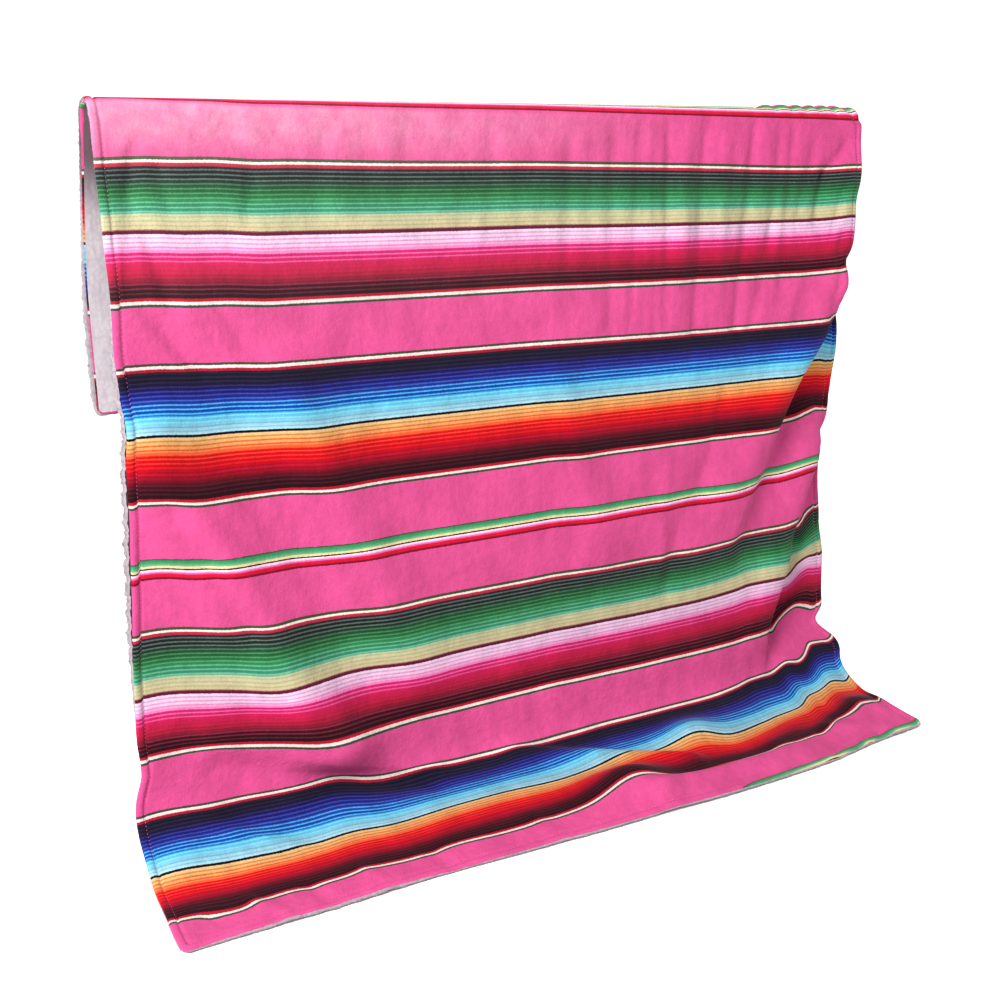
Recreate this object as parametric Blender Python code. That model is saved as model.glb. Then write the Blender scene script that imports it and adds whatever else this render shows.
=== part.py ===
# A serape-striped throw hung over a round rail: a long front panel that reaches the floor and runs forward
# on it, and a short back panel. The cloth is two sewn layers, printed plush outside and fleece inside.
# Metres, +Z up. X runs along the rail, -Y is the front, and the origin is the middle of the rail's axis.

import math

import bpy
import numpy as np

# Driving sizes
CLOTH_WIDTH = 1.27
RAIL_RADIUS = 0.0125
RAIL_LENGTH = 1.23
RAIL_EDGE = 0.0015
RAIL_HEIGHT = 0.963
PLUSH_WALL = 0.0018
FLEECE_WALL = 0.0045
SEAM_GAP = 0.0003
CLOTH_WALL = PLUSH_WALL + SEAM_GAP + FLEECE_WALL
WRAP_STEPS = 8
FLAT_TO_CORNER = math.cos(math.pi / WRAP_STEPS / 2)  # the wrap is faceted, and its flats clear the rail
CREST_RADIUS = RAIL_RADIUS / FLAT_TO_CORNER + SEAM_GAP + CLOTH_WALL
QUARTER_TURN = CREST_RADIUS * math.pi / 2

# The cloth's outer face, down the front. run is the distance along the cloth from the crest, forward is
# measured from the rail's axis and height from the floor, each at the left edge, the body, the right edge.
FRONT_SECTIONS = (
    # run, forward (left, body, right), height (left, body, right)
    (0.087, 0.022, 0.022, 0.024, 0.907, 0.901, 0.893),
    (0.173, 0.036, 0.026, 0.026, 0.823, 0.815, 0.808),
    (0.260, 0.056, 0.030, 0.030, 0.742, 0.728, 0.722),
    (0.338, 0.052, 0.033, 0.032, 0.665, 0.650, 0.644),
    (0.424, 0.046, 0.036, 0.034, 0.580, 0.564, 0.559),
    (0.510, 0.042, 0.040, 0.038, 0.495, 0.477, 0.474),
    (0.604, 0.036, 0.044, 0.042, 0.403, 0.384, 0.382),
    (0.690, 0.030, 0.047, 0.045, 0.318, 0.298, 0.298),
    (0.776, 0.028, 0.050, 0.048, 0.232, 0.212, 0.214),
    (0.864, 0.030, 0.055, 0.054, 0.146, 0.125, 0.130),
    (0.941, 0.044, 0.069, 0.068, 0.076, 0.052, 0.064),
    (1.028, 0.116, 0.148, 0.136, 0.028, 0.022, 0.019),
    (1.113, 0.200, 0.230, 0.206, 0.012, 0.015, 0.019),
    (1.180, 0.265, 0.300, 0.276, 0.008, 0.008, 0.008),
)
# The same down the back, where back is measured behind the rail's axis.
BACK_SECTIONS = (
    # run, back (left, body, right), height (left, body, right)
    (0.090, 0.029, 0.026, 0.025, 0.903, 0.903, 0.903),
    (0.160, 0.040, 0.031, 0.029, 0.834, 0.833, 0.833),
    (0.240, 0.047, 0.033, 0.034, 0.755, 0.753, 0.757),
    (0.310, 0.042, 0.031, 0.038, 0.686, 0.688, 0.697),
    (0.400, 0.033, 0.028, 0.040, 0.597, 0.613, 0.635),
)
LEFT_REACH = 0.40  # how far in from the left edge its column of the tables fades out, of the width
RIGHT_REACH = 0.20

# Folds that run down the front. Each ridge stands out by height on the line between two places, given by
# their run and their place across, from 0 at the left edge to 1 at the right. spread is its half width.
RIDGES = (
    # run 1, across 1, run 2, across 2, height 1, height 2, spread
    (0.42, 0.020, 0.88, 0.215, 0.022, 0.036, 0.055),
    (0.36, 0.175, 0.80, 0.330, 0.018, 0.012, 0.045),
    (0.12, 0.985, 0.25, 0.965, 0.016, 0.018, 0.030),
    (0.38, 0.520, 0.66, 0.590, 0.010, 0.007, 0.035),
    (0.30, 0.962, 0.60, 0.800, 0.018, 0.007, 0.030),
    (0.58, 0.945, 0.86, 0.845, 0.012, 0.006, 0.028),
    (0.20, 0.700, 0.34, 0.690, 0.005, 0.004, 0.030),
)
# Two pleats at the right: the cloth beyond the line between the two places lies back by depth.
PLEATS = (
    # run 1, across 1, run 2, across 2, depth 1, depth 2, width
    (0.30, 0.992, 0.70, 0.812, 0.038, 0.016, 0.058),
    (0.55, 0.985, 0.88, 0.884, 0.036, 0.044, 0.064),
)
FOLD_ENDS = 0.07  # over this run a ridge or a pleat fades in and out
# Humps where the foot of the cloth lies on the floor, by their middle and half lengths.
HUMPS = (
    # run, across, height, half length along the run, half length across
    (1.105, 0.555, 0.030, 0.040, 0.055),
    (1.020, 0.690, 0.022, 0.035, 0.045),
    (1.060, 0.430, 0.010, 0.060, 0.140),
    (1.085, 0.955, 0.014, 0.050, 0.040),
    (1.020, 0.060, 0.008, 0.040, 0.070),
)
# Soft waves across the hidden back panel.
BACK_WAVES = (
    # across, height, spread
    (0.13, 0.007, 0.035),
    (0.36, -0.006, 0.040),
    (0.62, 0.008, 0.045),
    (0.88, -0.007, 0.035),
)
# How far small creases and slack move the two edges of the front panel along X.
EDGE_SHIFTS = (
    # run, left edge, right edge
    (0.00, 0.000, 0.000),
    (0.14, 0.005, -0.004),
    (0.28, 0.001, 0.014),
    (0.36, 0.002, 0.012),
    (0.42, 0.004, -0.008),
    (0.52, 0.008, 0.016),
    (0.62, 0.008, 0.016),
    (0.78, 0.001, 0.012),
    (0.86, 0.001, 0.008),
    (0.95, 0.001, -0.006),
    (1.18, 0.000, 0.000),
)
EDGE_REACH = 0.12  # how far in from an edge its shift fades out, of the width
FOOT_DRIFT = -0.030  # the foot lies this far along X from where the crest hangs
FOOT_STARTS, FOOT_ENDS = 0.88, 1.16
STEEPEST = 0.85  # of the cloth's own length, the most that a fold takes out of its width
ANCHOR = 0.45  # the place across that keeps its X where folds draw the cloth in

# The mesh: places along the run, and places across, closer where the folds are.
BACK_RUNS = (0.400, 0.340, 0.275, 0.205, 0.140, 0.080)
FRONT_RUNS = (
    0.075, 0.130, 0.185, 0.240, 0.280, 0.315, 0.350, 0.385, 0.420, 0.455, 0.490, 0.525, 0.560, 0.595,
    0.630, 0.665, 0.700, 0.735, 0.770, 0.805, 0.840, 0.872, 0.903, 0.930, 0.957, 0.985, 1.015, 1.045,
    1.075, 1.105, 1.140, 1.180,
)
ACROSS_STRETCHES = (
    # from, to, steps
    (0.00, 0.04, 2),
    (0.04, 0.30, 9),
    (0.30, 0.78, 9),
    (0.78, 1.00, 14),
)


def eased(t):
    t = np.clip(t, 0.0, 1.0)
    return t * t * (3 - 2 * t)


def curve_through(x, known_x, known_y):
    """A smooth curve through the known places, read at x."""
    known_x, known_y = np.asarray(known_x, float), np.asarray(known_y, float)
    slopes = np.gradient(known_y, known_x, axis=0)
    i = np.clip(np.searchsorted(known_x, x) - 1, 0, len(known_x) - 2)
    gap = known_x[i + 1] - known_x[i]
    t = np.clip((x - known_x[i]) / gap, 0, 1)
    shape = (-1,) + (1,) * (known_y.ndim - 1)
    t, gap = t.reshape(shape), gap.reshape(shape)
    a, b = known_y[i], known_y[i + 1]
    return (
        a * (1 + 2 * t) * (1 - t) ** 2
        + b * t * t * (3 - 2 * t)
        + slopes[i] * gap * t * (1 - t) ** 2
        - slopes[i + 1] * gap * t * t * (1 - t)
    )


def across_columns(columns, across):
    """Values at the left edge, the body and the right edge, spread over the width."""
    left = 1 - eased(across / LEFT_REACH)
    right = eased((across - (1 - RIGHT_REACH)) / RIGHT_REACH)
    body = 1 - left - right
    return columns[:, 0:1] * left + columns[:, 1:2] * body + columns[:, 2:3] * right


def section_grid(sections, runs, across):
    """How far out and how high the cloth is, at every run and place across."""
    table = np.array(sections)
    start = (QUARTER_TURN,) + (CREST_RADIUS,) * 3 + (RAIL_HEIGHT,) * 3
    table = np.vstack([start, table])
    values = curve_through(runs, table[:, 0], table[:, 1:])
    return across_columns(values[:, 0:3], across), across_columns(values[:, 3:6], across)


def along_line(runs, run_1, run_2):
    """How far along its line a fold is at each run, and how strong it is there."""
    t = np.clip((runs - run_1) / (run_2 - run_1), 0, 1)
    strength = eased((runs - run_1 + FOLD_ENDS) / FOLD_ENDS) * eased((run_2 + FOLD_ENDS - runs) / FOLD_ENDS)
    return t[:, None], strength[:, None]


def front_folds(runs, across):
    """How far the ridges and pleats move the front panel forward."""
    out = np.zeros((len(runs), len(across)))
    for run_1, across_1, run_2, across_2, height_1, height_2, spread in RIDGES:
        t, strength = along_line(runs, run_1, run_2)
        middle = across_1 + (across_2 - across_1) * t
        height = height_1 + (height_2 - height_1) * t
        out += strength * height * np.exp(-(((across - middle) / spread) ** 2))
    for run_1, across_1, run_2, across_2, depth_1, depth_2, width in PLEATS:
        t, strength = along_line(runs, run_1, run_2)
        edge = across_1 + (across_2 - across_1) * t
        depth = depth_1 + (depth_2 - depth_1) * t
        out -= strength * depth * eased((across - edge) / width + 0.5)
    return out


def foot_humps(runs, across):
    """How far the foot is lifted off the floor."""
    lift = np.zeros((len(runs), len(across)))
    for run, place, height, half_run, half_across in HUMPS:
        down = np.exp(-(((runs - run) / half_run) ** 2))[:, None]
        lift += height * down * np.exp(-(((across - place) / half_across) ** 2))
    return lift


def drawn_in(forward, across):
    """X across the cloth, which keeps its width, so folds draw its edges in."""
    width = across * CLOTH_WIDTH
    slope = np.diff(forward, axis=1) / np.diff(width)
    step = np.sqrt(1 - np.clip(slope**2, 0, STEEPEST**2)) * np.diff(width)
    x = np.concatenate([np.zeros((len(forward), 1)), np.cumsum(step, axis=1)], axis=1)
    at_anchor = np.array([np.interp(ANCHOR, across, row) for row in x])
    return x - at_anchor[:, None] + (ANCHOR - 0.5) * CLOTH_WIDTH


def front_panel(runs, across):
    forward, height = section_grid(FRONT_SECTIONS, runs, across)
    forward = forward + front_folds(runs, across)
    height = height + foot_humps(runs, across)
    x = drawn_in(forward, across)
    x = x + FOOT_DRIFT * eased((runs - FOOT_STARTS) / (FOOT_ENDS - FOOT_STARTS))[:, None]
    shifts = np.array(EDGE_SHIFTS)
    left, right = curve_through(runs, shifts[:, 0], shifts[:, 1:]).T[:, :, None]
    x = x + left * (1 - eased(across / EDGE_REACH)) + right * eased((across - 1 + EDGE_REACH) / EDGE_REACH)
    return np.stack([x, -forward, height - RAIL_HEIGHT], axis=-1)


def back_panel(runs, across):
    back, height = section_grid(BACK_SECTIONS, runs, across)
    grown = eased(runs / BACK_RUNS[0])[:, None]
    for place, wave, spread in BACK_WAVES:
        back = back + wave * grown * np.exp(-(((across - place) / spread) ** 2))
    return np.stack([drawn_in(back, across), back, height - RAIL_HEIGHT], axis=-1)


def wrap_over_rail(across):
    """The quarter turns behind and before the crest."""
    angles = np.linspace(0, math.pi, WRAP_STEPS + 1)
    x = (across - 0.5) * CLOTH_WIDTH
    rows = [
        np.stack(
            [x, np.full_like(x, CREST_RADIUS * math.cos(a)), np.full_like(x, CREST_RADIUS * math.sin(a))],
            axis=-1,
        )
        for a in angles
    ]
    return np.array(rows)


def places_across():
    places = [0.0]
    for start, end, steps in ACROSS_STRETCHES:
        places += [start + (end - start) * (k + 1) / steps for k in range(steps)]
    return np.array(places)


def outer_face():
    """The points of the cloth's outer face, from the back hem over the rail to the front hem."""
    across = places_across()
    back = back_panel(np.array(BACK_RUNS), across)
    front = front_panel(np.array(FRONT_RUNS), across)
    return np.concatenate([back, wrap_over_rail(across), front])


def outward(points):
    """The outward normal at each point of a grid, rows down the cloth and columns across it."""
    normals = np.cross(np.gradient(points, axis=1), np.gradient(points, axis=0))
    return normals / np.linalg.norm(normals, axis=2, keepdims=True) * -1


def wall_mesh(name, outer, inner):
    """A closed wall between two grids of points, its triangles' long sides along the folds."""
    rows, columns = outer.shape[:2]
    count = rows * columns

    def at(row, column, side):
        return side * count + row * columns + column

    faces = []
    for r in range(rows - 1):
        for c in range(columns - 1):
            corners = ((r, c), (r + 1, c), (r + 1, c + 1), (r, c + 1))
            first = 0 if c < columns / 2 else 1
            a, b, d, e = (corners[(first + k) % 4] for k in range(4))
            for corner_1, corner_2, corner_3 in ((a, b, d), (a, d, e)):
                faces.append((at(*corner_1, 0), at(*corner_2, 0), at(*corner_3, 0)))
                faces.append((at(*corner_1, 1), at(*corner_3, 1), at(*corner_2, 1)))
    for r in range(rows - 1):
        last = columns - 1
        faces.append((at(r, 0, 0), at(r, 0, 1), at(r + 1, 0, 1), at(r + 1, 0, 0)))
        faces.append((at(r, last, 0), at(r + 1, last, 0), at(r + 1, last, 1), at(r, last, 1)))
    for c in range(columns - 1):
        last = rows - 1
        faces.append((at(0, c, 0), at(0, c + 1, 0), at(0, c + 1, 1), at(0, c, 1)))
        faces.append((at(last, c, 0), at(last, c, 1), at(last, c + 1, 1), at(last, c + 1, 0)))
    mesh = bpy.data.meshes.new(name)
    points = np.concatenate([outer.reshape(-1, 3), inner.reshape(-1, 3)])
    mesh.from_pydata(points.tolist(), [], faces)
    mesh.shade_smooth()
    mesh.set_sharp_from_angle(angle=math.radians(50))
    return mesh


def plain_material(name, colour, roughness):
    material = bpy.data.materials.new(name)
    material.use_nodes = True
    shader = material.node_tree.nodes["Principled BSDF"]
    shader.inputs["Base Color"].default_value = (*colour, 1.0)
    shader.inputs["Roughness"].default_value = roughness
    shader.inputs["Metallic"].default_value = 0.0
    return material


def add_object(name, mesh, material):
    item = bpy.data.objects.new(name, mesh)
    bpy.context.scene.collection.objects.link(item)
    mesh.materials.append(material)
    return item


def above_floor(points, clearance):
    """The same points, none lower than this clearance above the floor."""
    lowest = clearance - RAIL_HEIGHT
    return np.concatenate([points[..., :2], np.maximum(points[..., 2:], lowest)], axis=-1)


def add_cloth():
    face = outer_face()
    normals = outward(face)
    face = above_floor(face, CLOTH_WALL)
    layers = (
        ("plush_face", 0.0, PLUSH_WALL, (0.80, 0.10, 0.33), 0.85),
        ("sherpa_back", PLUSH_WALL + SEAM_GAP, CLOTH_WALL, (0.76, 0.72, 0.72), 0.95),
    )
    for name, near, far, colour, roughness in layers:
        outer = above_floor(face - normals * near, CLOTH_WALL - near)
        inner = above_floor(face - normals * far, CLOTH_WALL - far)
        add_object(name, wall_mesh(name, outer, inner), plain_material(name, colour, roughness))


def add_rail():
    bpy.ops.mesh.primitive_cylinder_add(
        vertices=32,
        radius=RAIL_RADIUS,
        depth=RAIL_LENGTH,
        rotation=(0, math.pi / 2, 0),
    )
    rail = bpy.context.object
    rail.name = "hanging_rail"
    rail.data.name = rail.name
    rail.data.materials.append(plain_material("hanging_rail", (0.62, 0.43, 0.25), 0.5))
    edge = rail.modifiers.new("broken edge", "BEVEL")
    edge.width = RAIL_EDGE
    edge.segments = 2
    edge.limit_method = "ANGLE"
    edge.angle_limit = math.radians(60)
    rail.data.shade_smooth()
    rail.data.set_sharp_from_angle(angle=math.radians(40))
    return rail


def main():
    for item in list(bpy.data.objects):
        bpy.data.objects.remove(item)
    add_cloth()
    add_rail()


main()
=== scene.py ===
# A serape-striped throw over a wooden rail: brushed plush outside, sherpa fleece inside, topstitched all
# round. Metres, +Z up, X along the rail, -Y the front. The cloth's form repeats the sections of the solids'
# source, finer.

import math

import bpy
import numpy as np
from mathutils import Matrix


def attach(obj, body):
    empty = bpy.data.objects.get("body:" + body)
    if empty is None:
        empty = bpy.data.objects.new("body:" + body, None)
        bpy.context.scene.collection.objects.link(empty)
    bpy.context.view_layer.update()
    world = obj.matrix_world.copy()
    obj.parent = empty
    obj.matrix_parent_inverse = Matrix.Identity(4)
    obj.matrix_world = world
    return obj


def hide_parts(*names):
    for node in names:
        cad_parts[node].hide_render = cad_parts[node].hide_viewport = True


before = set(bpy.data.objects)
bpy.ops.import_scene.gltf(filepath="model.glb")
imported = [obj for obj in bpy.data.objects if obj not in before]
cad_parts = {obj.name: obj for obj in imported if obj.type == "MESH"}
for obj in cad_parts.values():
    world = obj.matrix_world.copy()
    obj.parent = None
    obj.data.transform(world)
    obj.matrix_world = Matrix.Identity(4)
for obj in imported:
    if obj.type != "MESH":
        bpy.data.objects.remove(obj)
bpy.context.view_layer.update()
print("frame loaded:", ", ".join(sorted(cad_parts)))


# The form of the cloth

# the rod's radius, out to the corners of the flats that clear it
roundTheRail = 0.0125 / math.cos(math.pi / 16)
cloth = {
    "width": 1.27,
    "backRun": 0.400,  # down the back, crest to hem
    "frontRun": 1.180,  # down the front and out over the floor
    "railHeight": 0.963,
    "railRadius": roundTheRail,
    "crestRadius": roundTheRail + 0.0072,
    "wall": 0.0066,  # both layers
    "squeezed": 0.0060,  # both layers where they are pressed on the rail
    "offRail": 0.0004,
    "faceOverFloor": 0.0060,  # the lowest that the outer face comes
    "leftReach": 0.40,  # how far in the left column of the tables fades out, of the width
    "rightReach": 0.20,
    "edgeReach": 0.12,  # how far in from an edge its shift fades out, of the width
    "foldEnds": 0.07,  # over this run a ridge or a pleat fades in and out
    "creaseEnds": 0.045,
    "footDrift": -0.030,  # the foot lies this far along X from where the crest hangs
    "footStarts": 0.88,
    "footEnds": 1.16,
    "sweepStarts": 0.95,
    "sweepEnds": 1.15,
    "anchor": 0.45,  # the place across that keeps its X where folds draw the cloth in
    "steepest": 0.85,  # the steepest that a fold counts as when it draws the cloth in
    "wrapRows": 25,
    "plushStep": 0.0062,
    "fleeceStep": 0.0064,
    "bandStep": 0.0018,  # finer rows and columns in the sewn band
    "sewnBand": 0.018,
}
# run down the front; how far forward at the left edge, the body, the right edge; height over the floor there
frontSections = (
    (0.087, 0.022, 0.022, 0.024, 0.907, 0.901, 0.893),
    (0.173, 0.036, 0.026, 0.026, 0.823, 0.815, 0.808),
    (0.260, 0.056, 0.030, 0.030, 0.742, 0.728, 0.722),
    (0.338, 0.052, 0.033, 0.032, 0.665, 0.650, 0.644),
    (0.424, 0.046, 0.036, 0.034, 0.580, 0.564, 0.559),
    (0.510, 0.042, 0.040, 0.038, 0.495, 0.477, 0.474),
    (0.604, 0.036, 0.044, 0.042, 0.403, 0.384, 0.382),
    (0.690, 0.030, 0.047, 0.045, 0.318, 0.298, 0.298),
    (0.776, 0.028, 0.050, 0.048, 0.232, 0.212, 0.214),
    (0.864, 0.030, 0.055, 0.054, 0.146, 0.125, 0.130),
    (0.941, 0.044, 0.069, 0.068, 0.076, 0.052, 0.064),
    (1.028, 0.116, 0.148, 0.136, 0.028, 0.022, 0.019),
    (1.113, 0.200, 0.221, 0.206, 0.012, 0.015, 0.019),
    (1.180, 0.265, 0.286, 0.276, 0.008, 0.008, 0.008),
)
# the same down the back
backSections = (
    (0.090, 0.029, 0.026, 0.025, 0.903, 0.903, 0.903),
    (0.160, 0.040, 0.031, 0.029, 0.834, 0.833, 0.833),
    (0.240, 0.047, 0.033, 0.034, 0.755, 0.753, 0.757),
    (0.310, 0.042, 0.031, 0.038, 0.686, 0.688, 0.697),
    (0.400, 0.033, 0.028, 0.040, 0.597, 0.613, 0.635),
)
# run 1, across 1, run 2, across 2, height 1, height 2, spread
ridges = (
    (0.42, 0.020, 0.88, 0.215, 0.022, 0.036, 0.055),
    (0.36, 0.175, 0.80, 0.330, 0.018, 0.012, 0.045),
    (0.12, 0.985, 0.25, 0.965, 0.016, 0.018, 0.030),
    (0.38, 0.520, 0.66, 0.590, 0.010, 0.007, 0.035),
    (0.30, 0.962, 0.60, 0.800, 0.018, 0.007, 0.030),
    (0.58, 0.945, 0.86, 0.845, 0.012, 0.006, 0.028),
    (0.20, 0.700, 0.34, 0.690, 0.005, 0.004, 0.030),
)
# run 1, across 1, run 2, across 2, depth 1, depth 2, width
pleats = (
    (0.28, 0.994, 0.70, 0.812, 0.038, 0.016, 0.046),
    (0.55, 0.985, 0.87, 0.884, 0.036, 0.038, 0.052),
)
# run, across, height, half length along the run, half length across
humps = (
    (1.105, 0.555, 0.030, 0.040, 0.055),
    (1.020, 0.690, 0.022, 0.035, 0.045),
    (1.060, 0.430, 0.010, 0.060, 0.140),
    (1.085, 0.955, 0.014, 0.050, 0.040),
    (1.020, 0.060, 0.008, 0.040, 0.070),
)
# across, height, spread
backWaves = (
    (0.13, 0.007, 0.035),
    (0.36, -0.006, 0.040),
    (0.62, 0.008, 0.045),
    (0.88, -0.007, 0.035),
)
# run, shift of the left edge, shift of the right edge
edgeShifts = (
    (0.00, 0.000, 0.009),
    (0.09, 0.003, 0.003),
    (0.14, 0.004, -0.008),
    (0.18, 0.003, -0.004),
    (0.24, 0.001, -0.002),
    (0.27, 0.000, 0.009),
    (0.30, 0.000, 0.009),
    (0.34, 0.001, 0.025),
    (0.39, 0.002, 0.026),
    (0.45, 0.000, 0.010),
    (0.49, 0.001, 0.001),
    (0.53, 0.003, 0.016),
    (0.57, 0.003, 0.024),
    (0.65, 0.003, 0.022),
    (0.70, 0.001, 0.022),
    (0.76, -0.001, 0.015),
    (0.84, -0.001, 0.014),
    (0.86, 0.000, 0.014),
    (0.89, 0.000, -0.012),
    (0.92, 0.001, 0.000),
    (0.96, 0.001, -0.009),
    (1.04, 0.003, -0.004),
    (1.10, 0.006, -0.005),
    (1.18, 0.000, 0.010),
)
# how far the hem sweeps forward of the sections' line on the floor: across, metres
hemSweep = (
    (0.00, 0.000),
    (0.12, -0.004),
    (0.27, -0.012),
    (0.40, -0.007),
    (0.52, 0.002),
    (0.66, 0.010),
    (0.80, 0.010),
    (0.92, 0.000),
    (1.00, -0.003),
)
# Small creases that only show in the finish: the line's two ends, each a run and a place across, the height
# at each end in millimetres (troughs are negative), and the half widths in millimetres on the line's left or
# lower side and on its other side
creases = (
    # over the rail, at the right
    (-0.030, 0.845, 0.004, 0.835, -1.8, -1.8, 7, 7),
    (-0.030, 0.875, 0.006, 0.862, -2.4, -2.4, 7, 7),
    (-0.030, 0.903, 0.008, 0.890, -2.6, -2.6, 6, 6),
    (-0.030, 0.926, 0.008, 0.914, -3.0, -3.0, 6, 6),
    (-0.030, 0.944, 0.008, 0.937, -2.8, -2.8, 5, 5),
    (-0.030, 0.961, 0.010, 0.962, -3.2, -3.2, 5, 5),
    (-0.030, 0.978, 0.012, 0.986, -2.8, -2.8, 5, 5),
    (-0.009, 0.862, -0.009, 0.970, 6.0, 6.0, 8, 9),
    # down the front from the rail
    (0.07, 0.544, 0.22, 0.540, -3.2, -2.5, 12, 12),
    (0.07, 0.574, 0.16, 0.570, -2.4, -1.9, 10, 10),
    (0.07, 0.606, 0.32, 0.600, -4.0, -3.1, 12, 11),
    (0.06, 0.641, 0.32, 0.630, -2.7, -2.1, 5, 6),
    (0.06, 0.658, 0.36, 0.656, 2.1, 1.6, 4, 4),
    (0.06, 0.686, 0.30, 0.682, -4.5, -3.5, 7, 9),
    (0.07, 0.712, 0.24, 0.706, 4.0, 3.1, 12, 12),
    (0.06, 0.742, 0.36, 0.728, -5.1, -4.0, 9, 12),
    (0.07, 0.775, 0.28, 0.765, 4.5, 3.5, 13, 13),
    (0.06, 0.820, 0.34, 0.796, -5.9, -4.6, 9, 12),
    (0.06, 0.863, 0.20, 0.852, -4.0, -3.1, 8, 8),
    (0.20, 0.852, 0.36, 0.822, -3.7, -2.9, 12, 12),
    (0.06, 0.885, 0.28, 0.870, -3.7, -2.9, 6, 8),
    (0.07, 0.919, 0.16, 0.898, -3.5, -2.7, 7, 8),
    (0.064, 0.969, 0.098, 0.941, -7.5, -7.5, 7, 8),
    (0.110, 0.938, 0.170, 0.930, -7.0, -7.0, 8, 9),
    (0.120, 0.972, 0.185, 0.958, -5.0, -5.0, 6, 7),
    (0.205, 0.970, 0.330, 0.950, -7.0, -7.0, 9, 14),
    (0.07, 0.040, 0.12, 0.028, -4.0, -4.0, 9, 9),
    (0.11, 0.032, 0.23, 0.018, -3.0, -3.0, 8, 8),
    (0.095, 0.061, 0.14, 0.068, -3.6, -3.6, 9, 9),
    (0.095, 0.158, 0.15, 0.150, -3.4, -3.4, 10, 10),
    (0.175, 0.042, 0.25, 0.055, -4.4, -4.4, 10, 12),
    (0.27, 0.036, 0.34, 0.080, -5.4, -5.4, 10, 13),
    (0.27, 0.108, 0.36, 0.165, -2.6, -2.6, 9, 14),
    (0.262, 0.102, 0.335, 0.118, 1.0, 1.0, 3, 3),
    (0.06, 0.235, 0.14, 0.225, -3.0, -3.0, 14, 14),
    (0.06, 0.330, 0.13, 0.325, -2.6, -2.6, 12, 12),
    (0.06, 0.440, 0.16, 0.436, -2.4, -2.4, 12, 12),
    (0.178, 0.314, 0.082, 0.475, 1.2, 1.2, 4, 4),
    (0.678, 0.292, 0.630, 0.456, 1.2, 1.2, 4, 4),
    (0.26, 0.905, 0.34, 0.880, 3.4, 3.4, 12, 12),
    (0.45, 0.780, 0.60, 0.745, -3.6, -3.6, 12, 12),
    (0.58, 0.735, 0.74, 0.690, -5.0, -5.0, 20, 24),
    (0.53, 0.045, 0.70, 0.125, -7.0, -7.0, 18, 24),
    (0.52, 0.110, 0.66, 0.190, 3.0, 3.0, 14, 18),
    (0.45, 0.930, 0.56, 0.900, -5.0, -5.0, 14, 18),
    (0.875, 0.880, 0.935, 0.866, -6.0, -4.0, 8, 26),
    (0.56, 0.690, 0.72, 0.680, 3.2, 3.2, 14, 14),
    # the pocket above the foot, at the left
    (0.862, 0.080, 0.888, 0.188, 5.0, 5.0, 12, 34),
    (0.898, 0.222, 0.948, 0.335, 6.5, 6.5, 12, 34),
    (0.896, 0.090, 0.920, 0.180, -5.0, -5.0, 16, 14),
    (0.930, 0.215, 0.972, 0.330, -6.0, -6.0, 16, 14),
    # the folds of the foot
    (0.955, 0.455, 0.992, 0.524, 9.0, 9.0, 26, 13),
    (1.010, 0.554, 1.075, 0.655, 13.0, 13.0, 26, 13),
    (1.139, 0.580, 1.128, 0.800, 21.0, 6.0, 26, 12),
    (0.994, 0.960, 1.105, 0.790, 6.5, 6.5, 34, 15),
    (1.150, 0.620, 1.158, 0.700, -2.6, -2.6, 9, 9),
    (1.110, 0.880, 1.150, 0.930, 3.6, 3.6, 12, 12),
    (1.130, 0.960, 1.165, 0.930, -3.0, -3.0, 10, 10),
    (1.120, 0.860, 1.165, 0.840, -3.0, -3.0, 12, 12),
    (1.130, 0.040, 1.155, 0.055, -3.0, -3.0, 10, 10),
    (1.125, 0.090, 1.165, 0.110, 3.2, 3.2, 12, 12),
    (1.125, 0.150, 1.165, 0.160, -2.8, -2.8, 12, 12),
    (1.125, 0.210, 1.165, 0.220, 2.8, 2.8, 14, 14),
    (1.125, 0.290, 1.165, 0.295, -2.4, -2.4, 14, 14),
    (1.120, 0.420, 1.165, 0.430, 2.4, 2.4, 14, 14),
    (0.96, 0.060, 1.04, 0.160, 2.6, 2.6, 12, 12),
    # down the back
    (-0.36, 0.420, -0.14, 0.470, 3.0, 3.0, 14, 14),
    (-0.34, 0.720, -0.10, 0.690, -3.4, -3.4, 16, 16),
    (-0.38, 0.200, -0.16, 0.230, 2.8, 2.8, 12, 12),
    (-0.30, 0.580, -0.08, 0.560, -3.0, -3.0, 14, 14),
    (-0.30, 0.860, -0.08, 0.880, 3.2, 3.2, 13, 13),
)


def smooth(t):
    t = np.clip(t, 0.0, 1.0)
    return t * t * (3 - 2 * t)


def curveThrough(x, knownX, knownY):
    knownX, knownY = np.asarray(knownX, float), np.asarray(knownY, float)
    slopes = np.gradient(knownY, knownX, axis=0)
    i = np.clip(np.searchsorted(knownX, x) - 1, 0, len(knownX) - 2)
    gap = knownX[i + 1] - knownX[i]
    t = np.clip((x - knownX[i]) / gap, 0, 1)
    shape = (-1,) + (1,) * (knownY.ndim - 1)
    t, gap = t.reshape(shape), gap.reshape(shape)
    a, b = knownY[i], knownY[i + 1]
    rise = a * (1 + 2 * t) * (1 - t) ** 2 + b * t * t * (3 - 2 * t)
    return rise + slopes[i] * gap * t * (1 - t) ** 2 - slopes[i + 1] * gap * t * t * (1 - t)


def spreadAcross(columns, across):
    left = 1 - smooth(across / cloth["leftReach"])
    right = smooth((across - 1) / cloth["rightReach"] + 1)
    return columns[:, 0:1] * left + columns[:, 1:2] * (1 - left - right) + columns[:, 2:3] * right


def sectionGrid(sections, runs, across):
    r = cloth["crestRadius"]
    start = (r * math.pi / 2, r, r, r) + (cloth["railHeight"],) * 3
    table = np.vstack([start, np.array(sections)])
    values = curveThrough(runs, table[:, 0], table[:, 1:])
    return spreadAcross(values[:, 0:3], across), spreadAcross(values[:, 3:6], across)


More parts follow.
